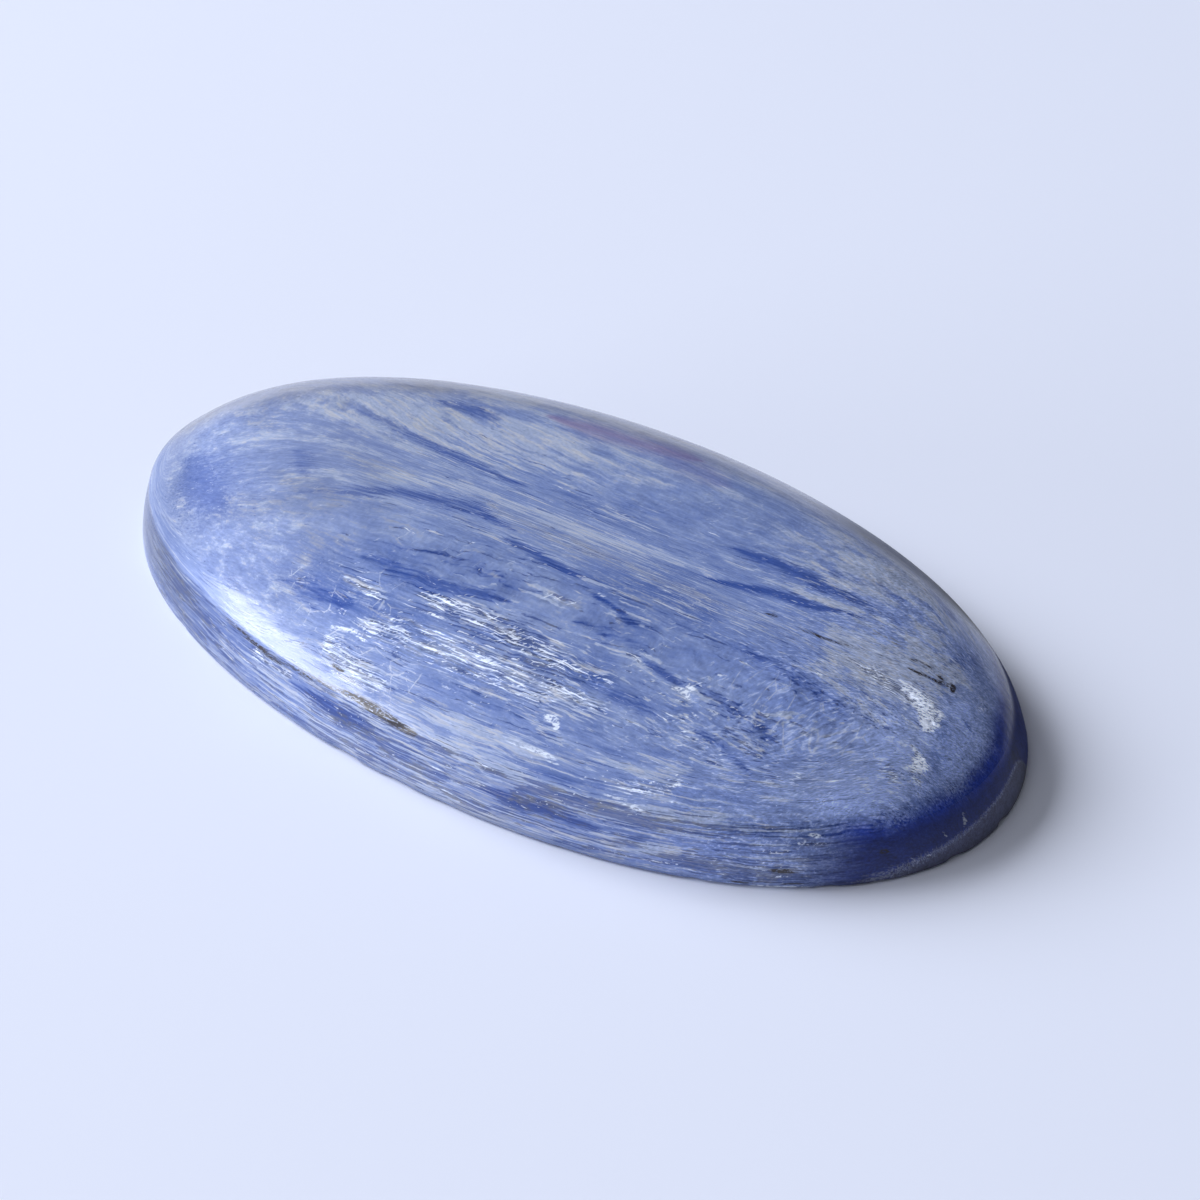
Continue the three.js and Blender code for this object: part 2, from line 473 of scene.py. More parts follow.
# %% Violet and stains
violet = strokes(
    (on_top((-3.8, 6), (-1.7, 6.3), (0.6, 6.6), (2.9, 7)), 0.7, 0.8, 0.4),
    (on_top((1, 6.4), (3, 6.3), (5, 5.9)), 0.9, 0.3),
)
stain = strokes(
    (on_side((-11, 2.75), (-8.9, 2.75), (-6.5, 2.95), (-4.1, 3.15)), 0.16, 0.9, 0.3),
    (on_side((-6.9, 2.95), (-4.1, 3.12), (-3.1, 3.12)), 0.14, 0.9, 0.4),
    (on_side((-4.4, 3.12), (-3.1, 3.12), (-2, 3.02), (-1, 2.9), (0.2, 2.8)), 0.19, 1.3, 0.4),
    (on_side((-5.2, 3.7), (-4.5, 3.75)), 0.16, 0.9),
    (on_top((15.6, 0.55), (16.3, 0.7), (16.95, 0.94)), 0.1, 1.1),
    (on_top((16.5, 0.8), (16.9, 0.95), (17.25, 1.05)), 0.17, 2.0),
    (on_top((17.2, 1.05), (17.35, 1.1)), 0.3, 2.8),
    (on_top((16.75, 1.35), (16.9, 0.94), (17.1, 0.75)), 0.13, 1.8),
    (on_top((15.6, 1.2), (16.6, 1.5)), 0.22, 0.6),
    (on_top((10.6, -0.6), (12, -0.33), (13.1, 0), (14.06, 0.3), (15.4, 0.55)), 0.12, 0.75),
    (on_top((13.8, 1.2), (15.2, 1.5)), 0.5, 0.35),
    (on_top((9.8, -0.35), (10.4, -0.3)), 0.12, 0.9),
    (on_side((11.3, 1.76), (12.2, 1.76)), 0.1, 1.4),
    (on_side((14.2, 1.1), (15.2, 1.05)), 0.12, 1.1),
    (on_side((17.8, 1.6), (18.15, 1.6)), 0.14, 1.4),
    (on_side((12, 0.8), (12.8, 0.75)), 0.12, 0.9),
    (on_side((12.6, 0.3), (15, 0.35), (16.5, 0.6)), 0.1, 0.9),
    (on_top((15.0, -7.05), (15.06, -7.15)), 0.08, 1.6),
)
print(f"violet on {violet.mean():.1%}, stain on {stain.mean():.1%}")

# %% Silver patches
silver = strokes(
    (on_top((-6.4, -7), (-5, -7.1), (-3.6, -7.2)), 0.35, 0.9),
    (on_top((-5.8, -9), (-4.2, -9.6), (-2.5, -9.8)), 0.6, 1.1, 0.4),
    (on_top((-4, -8.4), (-1, -8.2), (3, -8.2), (6.5, -7.7)), 0.9, 0.8, 0.3),
    (on_top((-2.8, -6.4), (0, -6.5), (3, -6.8), (6.5, -6.8)), 0.5, 1.0, 0.3),
    (on_top((1.4, -4.4), (2.4, -4.2), (3.5, -4.1)), 0.4, 0.7),
    (on_top((8.2, -9.5), (9.6, -9.1), (10.2, -8.6)), 0.35, 0.9),
    (on_top((5.5, -5.1), (8.5, -5), (12, -5.3)), 0.8, 0.4, 0.3),
    (on_top((8.5, -6.9), (11.7, -7.6)), 0.6, 0.45, 0.3),
    (on_top((13.8, -0.6), (15.4, -0.7), (16.8, -0.9)), 0.42, 1.1),
    (on_top((16.2, -0.35), (17, -0.55), (17.3, -1.1), (17.8, -1.6)), 0.42, 1.5),
    (on_top((17.4, -2.4), (18, -3.2), (18.1, -3.7)), 0.32, 1.4),
    (on_top((16.3, -4), (17, -3.9), (17.5, -4.4)), 0.4, 0.8),
    (on_top((18.3, 1.4), (19, 1.6)), 0.35, 0.9),
    (on_side((15.1, 2.2), (16, 2.1)), 0.2, 1.0),
    (on_side((-9.5, 2.4), (-7, 2.5)), 0.4, 0.8),
)
print(f"silver on {silver.mean():.1%}")

# %% Glinting nicks and scratches
glint = strokes(
    (on_top((4.2, -8.98), (4.7, -8.85), (5.1, -9.1)), 0.13, 1.6),
    (on_side((0.3, 1.63), (1.1, 1.76)), 0.09, 1.5),
    (on_side((19.9, 2.4), (20.05, 1.9), (20.15, 1.2)), 0.07, 1.4),
    (on_side((20.1, 2.0), (20.4, 1.5)), 0.07, 1.2),
    (on_side((20.3, 1.3), (20.55, 1.0)), 0.09, 1.1),
    (on_side((18.6, 1.2), (19, 0.9), (19.5, 0.85)), 0.07, 1.0),
    (on_side((19.4, 1.7), (19.8, 1.2)), 0.07, 1.1),
    (on_top((8.3, -5.9), (9, -5.85), (9.4, -5.95)), 0.14, 1.4),
    (on_top((9.6, -6.3), (10.3, -6.5)), 0.12, 1.1),
    (on_top((9, -5.4), (9.5, -5.55)), 0.1, 1.0),
    (on_top((-2.3, -6.25), (-1.5, -6.35), (-0.8, -6.5)), 0.09, 1.2),
    (on_top((-2.4, -7.2), (-0.1, -6.95), (0.6, -7.15), (2.3, -7.08), (3.7, -6.95)), 0.09, 1.1, 0.3),
    (on_side((-3.7, 5.35), (-2.9, 5.65), (-2.2, 5.75)), 0.06, 1.1),
    (on_top((0, -8), (0.9, -7.95), (1.9, -7.95)), 0.09, 1.1),
    (on_top((2.3, -8.25), (2.6, -7.85)), 0.06, 1.3),
    (on_top((3, -9.9), (4.8, -9.77), (5.8, -9.87)), 0.17, 1.0),
    (on_top((9.8, -9.0), (10.2, -8.7), (10.15, -8.3)), 0.12, 1.2),
    (on_top((8.2, -9.5), (9, -9.35), (9.7, -9.1)), 0.08, 0.9),
    (on_top((7.4, -9.95), (8.5, -9.85), (9.4, -9.8)), 0.14, 0.9),
    (on_top((14.25, -6), (14.1, -6.35), (14.15, -6.65)), 0.07, 1.1),
    (on_top((14.5, -5.4), (14.3, -5.7)), 0.06, 1.0),
    (on_top((15.6, -0.2), (16.6, -0.5), (17.2, -1), (17.7, -1.7)), 0.34, 1.5),
    (on_top((17.6, -2.6), (18, -3.4)), 0.22, 1.1),
    (on_top((15.3, -7.42), (15.85, -7.12)), 0.1, 2.2),
    (on_side((13.8, 0.2), (15.5, 0.2), (17, 0.3)), 0.07, 1.2),
    (on_top((13, -2.1), (13.35, -2.05)), 0.1, 1.6),
    (on_top((-2.7, -3.7), (-2.4, -3.65)), 0.12, 1.2),
    (on_top((1.9, -0.6), (2.4, -0.7)), 0.08, 1.1),
    (on_top((3.5, -3), (3.8, -3.05)), 0.08, 1.2),
    (on_top((15.9, -0.2), (16.6, -0.7), (16.9, -1.2)), 0.09, 1.6),
    (on_top((16.6, 0), (16.9, -0.5), (17.4, -1.1), (17.6, -1.9)), 0.1, 1.8),
    (on_top((17.1, -0.2), (17.6, -0.8), (17.8, -1.4)), 0.08, 1.7),
    (on_top((17.5, -2.5), (17.9, -3.2), (18, -3.8)), 0.08, 1.3),
    (on_top((14.2, -0.7), (15.3, -0.9)), 0.06, 1.2),
    (on_top((-3.4, -9), (-4.6, -8.6), (-5.9, -8.7)), 0.09, 1.1),
    (on_top((-6.9, -7.9), (-5.7, -8.2), (-4.7, -8.1)), 0.07, 1.0),
)
print(f"glints on {glint.mean():.1%}")

# %% [markdown]
# ## Broad differences
#
# Under the bands the stone is unevenly clear. Crackle is a net of fine cracks, dusk a patch with more dark
# blades, frost a patch with more pale ones, murk a deeper blue and lit a lighter one, which near the +X end
# also brightens the colour as painted light. They are broad, weak strokes, because a cloud of noise can't put
# them in the right places.

# %% Crackle and dusk
crackle = strokes(
    (on_top((10.5, -4), (13, -4.6), (15, -5.6)), 1.5, 0.9, 0.3),
    (on_top((14, -3.5), (17, -4.2)), 1.6, 0.8, 0.3),
    (on_top((6.5, -1.7), (9, -1.5)), 0.9, 0.7),
    (on_top((-8, -7.4), (-6, -8.5), (-3.8, -9.3), (-1, -9.5)), 1.2, 1.3, 0.3),
    (on_top((-5, -6.8), (-3.5, -7.4)), 1.0, 0.9, 0.3),
)
dusk = strokes(
    (on_side((4, 2.0), (5.7, 2.75), (7.4, 2.6), (9.4, 2.5), (13.7, 2.6)), 0.3, 1.0, 0.3),
    (on_side((3, 1.7), (5, 1.75), (7, 2.1)), 0.3, 0.9),
    (on_side((10.5, 0.9), (13, 0.7), (16, 0.7)), 0.5, 0.8),
    (on_side((-6, 2.2), (-3.5, 2.0), (0, 1.9)), 0.45, 0.7),
    (on_side((-17, 2.2), (-14, 1.9), (-11, 2)), 0.4, 0.7),
    (on_top((-2, -6.8), (1, -6.8), (5, -7.3)), 0.9, 0.6, 0.3),
    (on_top((11, -6.2), (14, -6.9)), 0.5, 0.5),
)
print(f"crackle on {crackle.mean():.1%}, dusk on {dusk.mean():.1%}")

# %% Frost, murk and lit places
frost = strokes(
    (on_top((-12.5, 2.2), (-8.5, 2.5), (-5, 3), (-1.4, 5), (1, 6.6)), 2.3, 1.1, 0.2),
    (on_top((-8, 5.4), (-5, 7)), 1.5, 1.5),
    (on_top((9, 1.6), (12.7, 4.6), (16, 4.6)), 1.8, 1.3, 0.3),
    (on_top((13, -1.8), (15.3, 0), (17.3, 2)), 1.7, 1.8, 0.3),
    (on_top((-4.5, -9.9), (-1, -10.3), (4.6, -10.2), (9.5, -9.5), (12, -8.7)), 1.0, 1.4, 0.2),
)
murk = strokes(
    (on_top((2.4, -2.7), (5.5, -1.3), (8, -2)), 1.6, 1.3, 0.2),
    (on_top((3.8, -4.9), (6.5, -3.5)), 1.4, 0.9, 0.3),
    (on_top((4.4, -6.6), (6.2, -6.6)), 1.1, 1.7),
    (on_top((-1, -9), (1, -8.5), (4.5, -8.9), (6.6, -8.1)), 1.0, 1.0, 0.3),
    (on_top((12, -7.4), (14, -6.9)), 0.9, 0.7),
    (on_top((-15.5, -2), (-13.5, -4.6), (-11.2, -7.4), (-8, -7.4), (-5, -8), (-2, -7.8)), 1.6, 1.0, 0.2),
)
lit = strokes(
    (on_top((-9, -2.8), (-6.4, -2), (-4.5, -3.8), (-1.5, -5)), 1.5, 0.6, 0.3),
    (on_top((16.2, -2.2), (17, -3.6), (17.3, -5), (15.6, -6.4)), 1.4, 1.0, 0.3),
    (on_top((18.2, 0.8), (18.6, -1), (18.8, -2.4)), 1.0, 1.0, 0.3),
    (on_top((15.7, -0.2), (16.9, -0.6), (17.7, -1.7), (18, -3.4)), 0.5, 1.1, 0.3),
    (on_top((-10.5, 2), (-8, 2.3)), 1.3, 0.5),
    (on_top((-9.6, -4), (-8, -3.5)), 1.3, 0.5),
)
print(f"frost on {frost.mean():.1%}, murk on {murk.mean():.1%}, lit on {lit.mean():.1%}")

# %% [markdown]
# ## Zones of the dome
#
# Some looks belong to a whole zone and not to a mark. Blades end at a step line near the +X end, and past it
# lies the end face, where they are cut nearly square and look calmer. The +X end of the stone is clearer, the
# upper left cloudy, and the steep side has more dull fibres. The shoulder is the part of the dome that slopes
# away to the far right, which is left a little rougher. Its grey tint is a painted reflection, and towards
# the
# +X end it is darkened as painted shade. Each zone is a product of smooth steps.

# %% The step line and the end face
step_line = 17.4 + 0.25 * np.clip(-y - 0.4, 0, 3.4) - 0.8 * np.clip(-y - 4, 0, 4)
end_face = ease(-0.2, 0.25, x - step_line + 0.2 * blotches) * ease(-9, -5, -np.abs(y))
before_step = ease(-4.5, -0.5, x - step_line) * (1 - end_face) * ease(0, -2.5, y) * ease(2.6, 3.4, z)
print(f"end face {end_face.mean():.1%}, before the step {before_step.mean():.1%}")

# %% Left, right, side and shoulder
cloudy = ease(-4, -11, x) * ease(3.2, 4.4, z)
steep = ease(3.1, 2.7, z) * ease(0.1, 0.5, z)
left = ease(2, -12, x)
right = ease(9, 18, x)
left_side = steep * ease(-5, -15, x)
# In plan this is straight away from the camera below. The zones stay on the stone when the view changes.
FAR_WAY = np.array([-0.496, 0.868, 0])
far_slope = outward(smooth_points) @ FAR_WAY
hazy = ease(0.85, 0.68, far_slope)
# The shoulder mask places a painted reflection and painted shade; hazy fades them out just past the edge that
# the camera below sees.
shoulder = ease(0.12, 0.36, far_slope) * ease(0.5, 2.5, z) * hazy
calm = np.maximum.reduce([cloudy * hazy, 0.8 * ease(1, 5, y) * hazy, 0.6 * end_face])
print(f"cloudy on {cloudy.mean():.1%}, steep side {steep.mean():.1%}, shoulder {shoulder.mean():.1%}")

# %% [markdown]
# ## From marks to fibres
#
# Seen close, a pale band is not painted on: it is a place where more of the fine fibres are pale. So the
# marks are added up into a few fields that say how common each kind of fibre is: pale silky ones, dull grey
# fuzz, silver flakes and dusky blades. Each sum starts from how common the kind is anywhere, and each weight
# says how much a mark adds or takes away.

# %% How common the pale and the dull fibres are
patchy = [cloud(grain, (5, 1.2, 1.2), seed) for seed in (31, 32, 33)]
fine_patchy = [cloud(grain, (1.8, 0.4, 0.4), seed) for seed in (34, 35, 36)]
smoke = cloud(smooth_points, (2.6, 1.8, 1.8), 37) + 0.5 * cloud(smooth_points, (1.1, 0.8, 0.8), 38)
smoky = ease(-0.2, 0.6, smoke)


def mixture(start, *parts):
    """The start plus each field times its weight."""
    return start + sum(weight * field for field, weight in parts)


silk = mixture(
    0.2, (patchy[0], 0.1), (fine_patchy[0], 0.14), (cream, 0.42), (silver, 0.3), (frost, 0.3), (steep, 0.2),
    (ash, 0.06), (before_step, 0.08), (royal, -0.3), (navy, -0.5), (end_face, -0.12), (left_side, -0.15),
)
fuzz = mixture(
    0.12, (patchy[1], 0.08), (fine_patchy[1], 0.1), (ash, 0.4), (steep, 0.25), (silver, 0.25), (stain, 0.2),
    (frost, 0.15), (cloudy, 0.06), (cloudy * smoky, 0.3), (royal, -0.25), (navy, -0.5),
    (ease(3, 13, x), -0.25), (ease(-7, -12, x), -0.12),
)
print(f"silk {silk.min():.2f} to {silk.max():.2f}, fuzz {fuzz.min():.2f} to {fuzz.max():.2f}")

# %% How common the flakes and the dusky blades are
flake = mixture(
    -0.16, (patchy[2], 0.06), (ease(-4, -7, y), 0.08), (silver, 0.62), (steep, 0.06), (cream, 0.06),
    (navy, -0.3), (left_side, -0.1), (calm, -0.25),
)
dusky = mixture(
    0.06, (patchy[1], 0.14), (dusk, 0.55), (silver, 0.3), (steep, 0.35), (royal, 0.1), (calm, -0.25),
    (cream, -0.15),
)
print(f"flake {flake.min():.2f} to {flake.max():.2f}, dusky {dusky.min():.2f} to {dusky.max():.2f}")

# %% [markdown]
# ## Depth, painted shade and roughness
#
# Three more fields say how the stone takes the light. Depth is where its blue lies between deep at 0 and
# light at 1. Dim is painted shade: it darkens the colour at the far shoulder, the steep sides near both ends,
# the cloudy upper left, the bottom edge, the foot of the navy end and the rims at both ends, and a few
# places, a lit patch near the +X end among them, are brightened as painted light. Matt is how rough the
# surface is where the pad hardly reached, at the far shoulder, at the +X rim and in the stain.

# %% Depth of the blue
step_shadow = np.exp(-(((x - step_line - 0.5) / 0.5) ** 2)) * ease(-5.5, -4, y) * ease(0.5, -0.5, y)
# The lighter blue towards the +X end is partly painted light, where the top slopes away from the light, and
# the deeper blue on the left end's steep side is painted shade.
depth = mixture(
    0.68, (patchy[0], 0.1), (fine_patchy[2], 0.1), (cream, 0.15), (silver, 0.1), (left, 0.07), (right, 0.26),
    (ash, 0.04), (calm, 0.04), (before_step, 0.2), (frost, 0.04), (lit, 0.22), (end_face, -0.04),
    (royal, -0.38), (steep * ease(-14, 10, x), -0.12), (left_side, -0.3), (murk, -0.18), (step_shadow, -0.2),
)
print(f"depth {depth.min():.2f} to {depth.max():.2f}")

# %% Painted shade: where the stone is darkened
MOST_PAINTED_SHADE = 2.2
left_rim = ease(0.8, 0.92, share_of_reach) * ease(-12, -17, x) * ease(0.4, 1, z)
right_rim = ease(0.93, 0.955, share_of_reach) * ease(16.5, 18.5, x) * ease(0, 2.5, y)
navy_foot = navy * ease(0.955, 0.975, share_of_reach) * ease(0.2, -0.3, band_place)
# Painted shade: parts with weights above nought darken the colour, and those below nought brighten it as
# painted light.
painted_shade = mixture(
    0.0, (shoulder * ease(7, 14, x), 1.1), (shoulder * ease(13, 16, x), 1.0),
    (shoulder * ease(3, 6, x) * ease(11, 8, x), -0.35), (left_side, 0.6), (ease(0.6, 0.15, z), 0.7),
    (steep * ease(12, 17, x) * (1 - navy), 0.6), (cloudy, 0.12), (cloudy * smoky, 0.2), (navy_foot, 1.3),
    (left_rim, 0.7), (right_rim, 1.1), (lit * ease(12, 15, x), -0.8),
)
painted_shade = np.minimum(painted_shade, MOST_PAINTED_SHADE - 0.9 * navy * ease(0, 2, y))
print(f"dim {painted_shade.min():.2f} to {painted_shade.max():.2f}")

# %% Where it is matt
matt = shoulder * ease(4, 12, x)
matt = np.maximum(matt, ease(0.95, 0.97, share_of_reach) * ease(13, 17, x) * (1 + 0.6 * ease(0.5, 3, y)))
matt = np.maximum(matt, 0.6 * np.minimum(stain, 1) * ease(0, -2, y))
print(f"matt on {matt.mean():.1%}")

# %% [markdown]
# ## The hand-polished surface
#
# A cabochon is polished by hand on a soft pad, which leaves slow waves of a few hundredths of a millimetre.
# They are what makes the window's reflection uneven. Where the blades part, small pits and flakes stay open,
# and the thin lower edge is nibbled. All of this moves the points of the shell itself.

# %% Move the points, in millimetres
POLISH_WAVE = 0.02
BLADE_RELIEF = 0.006
PIT_DEPTH = 0.05
NIBBLE = 0.09
pits = strokes(
    (on_top((-2.6, -3.7), (-2.4, -3.7)), 0.2, 0.7),
    (on_top((8.4, -5.7), (9.1, -5.95), (9.9, -6.1)), 0.14, 0.9),
    (on_top((15.03, -7.12), (15.07, -7.2)), 0.12, 1.4),
    (on_side((-4.4, 2.8), (-3.2, 2.65), (-2.3, 2.7)), 0.12, 0.9),
    (on_side((-2, 2.75), (-1.2, 2.85), (-0.2, 3)), 0.12, 0.9),
    (on_side((10.9, 1.97), (12.1, 1.93)), 0.1, 0.9),
)
open_blades = ease(0.45, 0.75, cloud(grain, (1.1, 0.3, 0.3), 21)) * (0.15 + 0.5 * silver)
push = POLISH_WAVE * (cloud(grain, (6, 4, 4), 22) + 0.5 * cloud(grain, (3, 1.6, 1.6), 23))
push += BLADE_RELIEF * cloud(grain, (4, 0.5, 0.5), 24)
push -= PIT_DEPTH * np.maximum(pits, open_blades)
push *= ease(EDGE_BEVEL, EDGE_BEVEL + 0.4, z)
points = smooth_points + push[:, None] * outward(smooth_points)
edge = np.exp(-(((z - EDGE_BEVEL) / 0.2) ** 2)) * (share_of_reach > 0.98)
nibbled = NIBBLE * edge * ease(0.2, 0.8, cloud(smooth_points, (0.9, 0.9, 0.9), 25))
from_middle = np.linalg.norm(points[:, :2], axis=1, keepdims=True)
points[:, :2] *= 1 - nibbled[:, None] / np.maximum(from_middle, 1)
print(f"surface moved {push.min():.3f} to {push.max():.3f} mm, edge nibbled up to {nibbled.max():.3f} mm")

# %% Put the shell in Blender
def make_shell(name, places, face_groups):
    """One smooth mesh object at the origin, from points in millimetres and groups of faces."""
    mesh = bpy.data.meshes.new(name)
    faces = [face for group in face_groups for face in group.tolist()]
    mesh.from_pydata((places / METRE).tolist(), [], faces)
    mesh.validate()
    mesh.update()
    mesh.shade_smooth()
    shell = bpy.data.objects.new(name, mesh)
    bpy.context.scene.collection.objects.link(shell)
    return shell


def keep_on_points(shell, name, values):
    """Keeps one number or one vector at every point of the shell, for its finish to read."""
    kind, key = ("FLOAT", "value") if values.ndim == 1 else ("FLOAT_VECTOR", "vector")
    layer = shell.data.attributes.new(name, kind, "POINT")
    layer.data.foreach_set(key, values.astype(np.float32).ravel())


print(f"{len(points)} points ready for the shell")

# %% The stone and its marks
stone = make_shell("polished_kyanite", points, [dome_faces, back_faces, fan_faces])
ground = ease(EDGE_BEVEL, 0.0, z)
clear = ease(6, 16, x) * (1 - 0.2 * before_step)
blotchy = np.maximum.reduce([0.7 * cloudy, 0.75 * before_step, 0.5 * end_face])
marks = {
    "silk": silk, "fuzz": fuzz, "flake": flake, "dusky": dusky, "depth": depth, "navy": navy,
    "violet": violet, "stain": stain, "crackle": crackle, "cloudy": cloudy, "ground": ground, "glint": glint,
    "calm": calm, "shoulder": shoulder, "band_place": band_place, "royal": royal, "painted_shade": painted_shade, "right": clear,
    "matt": matt, "blotchy": blotchy,
}
keep_on_points(stone, "grain", grain)
for name, values in marks.items():
    keep_on_points(stone, name, values)
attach(stone, "root")
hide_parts("kyanite_cabochon")
print(f"{stone.name}: {len(stone.data.vertices)} points, {len(marks)} marks")

# %% [markdown]
# ## The finish: fibres of blue, grey and silver
#
# The colour of kyanite lies in its blades, each a little lighter or darker than the next. A painted picture
# could show that from one side only, so the finish is worked out from noise in the grain coordinates instead.
# Noise that is stretched along the grain gives bands, streaks, fibres and hairs, each finer than the last.

# %% Small tools for the finish
finish = bpy.data.materials.new("polished kyanite")
finish.use_nodes = True
tree = finish.node_tree
shader = tree.nodes["Principled BSDF"]


def add(kind, inputs, output=0, **settings):
    """Adds one node with its settings, joins or sets its inputs, and returns one output."""
    made = tree.nodes.new("ShaderNode" + kind)
    for name, value in settings.items():
        setattr(made, name, value)
    for name, value in inputs.items():
        if isinstance(value, bpy.types.NodeSocket):
            tree.links.new(value, made.inputs[name])
        else:
            made.inputs[name].default_value = value
    return made.outputs[output]


def maths(operation, first, second=0.0, third=0.0):
    """One sum, product or other operation on numbers or outputs."""
    return add("Math", {0: first, 1: second, 2: third}, operation=operation)


def times(first, second):
    """One number or output times another."""
    return maths("MULTIPLY", first, second)


print(f"the finish starts with {len(tree.nodes)} nodes")

# %% Sums, steps and marks
def weighted(start, *terms):
    """The start plus each output, less its middle value of a half, times its weight."""
    total = start
    for value, weight in terms:
        total = maths("ADD", total, maths("MULTIPLY_ADD", value, weight, -0.5 * weight))
    return total


def between(low, high, value, to_low=0.0, to_high=1.0):
    """A smooth step of an output from one value to another."""
    inputs = {"Value": value, "From Min": low, "From Max": high, "To Min": to_low, "To Max": to_high}
    return add("MapRange", inputs, interpolation_type="SMOOTHSTEP")


def mark(name):
    """One of the numbers kept on the points."""
    return add("Attribute", {}, output=2, attribute_name=name)


print(f"the shell offers {len(marks)} marks to the finish")

# %% Colours
def displayed(red, green, blue):
    """A colour as a screen shows it, 0 to 255, in the linear values that light works in: the usual curve, a
    short straight piece and then a power."""
    part = np.array([red, green, blue]) / 255
    return (*np.where(part < 0.04045, part / 12.92, ((part + 0.055) / 1.055) ** 2.4), 1.0)


def tinted(under, colour, amount):
    """The colour underneath with another one laid over it by some amount."""
    over = colour if isinstance(colour, bpy.types.NodeSocket) else displayed(*colour)
    return add("Mix", {0: amount, 6: under, 7: over}, output=2, data_type="RGBA")


print(f"mid grey on a screen is {displayed(128, 128, 128)[0]:.2f} in light")

# %% Noise along the grain
# The grain coordinates are swirled a little, so that no fibre runs quite straight.
SWIRL = (0.6, 0.3, 0.3)
SPREAD = 3.0
run = add("Attribute", {}, output=1, attribute_name="grain")
swirl = add("TexNoise", {"Vector": run, "Scale": 0.7, "Detail": 4.0}, output=1)
centred = add("VectorMath", {0: swirl, 1: (0.5, 0.5, 0.5)}, operation="SUBTRACT")
shift = add("VectorMath", {0: centred, 1: SWIRL}, operation="MULTIPLY")
warped = add("VectorMath", {0: run, 1: shift})


def noise(size, detail, seed, turn=0.0, roughness=0.55):
    """Noise whose lumps are this long, wide and high in millimetres, turned by an angle in plan, and spread
    to fill 0 to 1. The seed moves it to an unused place."""
    place = (7.3 * seed, 3.1 * seed, 5.7 * seed)
    scale = tuple(1 / length for length in size)
    turned = warped
    if turn:
        turned = add("VectorRotate", {"Vector": warped, "Angle": np.radians(turn)}, rotation_type="Z_AXIS")
    mapped = add("Mapping", {"Vector": turned, "Location": place, "Scale": scale})
    lumps = add("TexNoise", {"Vector": mapped, "Scale": 1.0, "Detail": detail, "Roughness": roughness})
    return maths("MULTIPLY_ADD", lumps, SPREAD, 0.5 - 0.5 * SPREAD)


streak = noise((8, 0.55, 0.55), 2, 2)
fibre = noise((4, 0.17, 0.17), 2, 3, roughness=0.6)
hair = noise((2, 0.08, 0.08), 2, 4)
mottle = noise((0.9, 0.45, 0.45), 4, 5, roughness=0.7)
grit = noise((0.14, 0.07, 0.07), 1, 6)
second_fibre = noise((2, 0.12, 0.12), 2, 7, turn=4, roughness=0.6)
cross = noise((0.45, 0.08, 0.08), 2, 8, turn=-32)
third_fibre = noise((3, 0.1, 0.1), 2, 9, turn=-3, roughness=0.6)
print(f"{len(tree.nodes)} nodes with the noise")

# %% The blue underneath
TONES = (
    (0.0, (52, 78, 148)), (0.25, (84, 108, 172)), (0.5, (112, 132, 186)),
    (0.75, (135, 153, 200)), (1.0, (162, 177, 214)),
)
ramp = tree.nodes.new("ShaderNodeValToRGB")
for index, (place, colour) in enumerate(TONES):
    stop = ramp.color_ramp.elements[index] if index < 2 else ramp.color_ramp.elements.new(place)
    stop.position = place
    stop.color = displayed(*colour)
depth_mark = mark("depth")
unevenness = weighted(0.0, (streak, 0.16), (mottle, 0.22), (second_fibre, 0.1), (third_fibre, -0.14))
tone = maths("ADD", depth_mark, unevenness)
tree.links.new(tone, ramp.inputs["Fac"])
body = ramp.outputs["Color"]

# Crisp fibres run over most of the stone. They are softer where it is calm, and mottled where it is blotchy.
crisp_run = weighted(0.5, (fibre, 0.55), (hair, 0.45), (streak, 0.3))
calm_run = weighted(0.5, (streak, 0.75), (fibre, 0.25), (mottle, 0.2))
lengthwise = add("Mix", {0: mark("calm"), 2: crisp_run, 3: calm_run})
lengthwise = add("Mix", {0: mark("blotchy"), 2: lengthwise, 3: mottle})
print(f"{len(tree.nodes)} nodes with the blue")

# %% Two ways to show a mark through the fibres
def share_of(fibres, common, softness):
    """Where fibres show: the noise over one minus how common they are, with soft edges."""
    limit = maths("SUBTRACT", 1.0, common)
    over = maths("SUBTRACT", fibres, limit)
    return between(times(softness, -1.0), softness, over)


def soft_mark(name, ragged, fibres=lengthwise):
    """Where a mark shows: its strength, raised and lowered by the fibres, through a smooth step. Nothing
    shows where the strength is nearly nothing."""
    strength = mark(name)
    swayed = maths("ADD", strength, maths("MULTIPLY_ADD", fibres, ragged, -0.5 * ragged))
    return times(between(0.2, 0.8, swayed), between(0.0, 0.15, strength))


print("a mark can show by its share of the fibres, or with a ragged edge")

# %% [markdown]
# ## Laying the colours over each other
#
# Each colour goes over the ones before it, by the mark that says where, times how strongly it covers. First
# come broad tints, then deep streaks, dull fuzz, pale silk, small flecks and dusky blades. One layer with all
# of the colours in a ramp would be shorter, but every kind of fibre has its own direction and fineness.

# %% Tints and deep streaks
CLEAR_BLUE = (124, 150, 226)
CLOUDY_GREY = (140, 152, 188)
ROYAL_BLUE = (52, 80, 156)
calmness = maths("MULTIPLY_ADD", mark("calm"), 0.2, 0.1)
body = tinted(body, CLEAR_BLUE, times(mark("right"), 0.45))
body = tinted(body, CLOUDY_GREY, times(mark("cloudy"), 0.35))
dark_run = weighted(0.5, (third_fibre, 0.9), (streak, 0.25))
royal_shows = soft_mark("royal", 0.9, dark_run)
body = tinted(body, ROYAL_BLUE, times(royal_shows, maths("MULTIPLY_ADD", mark("calm"), -0.4, 0.7)))
print(f"{len(tree.nodes)} nodes with the streaks")

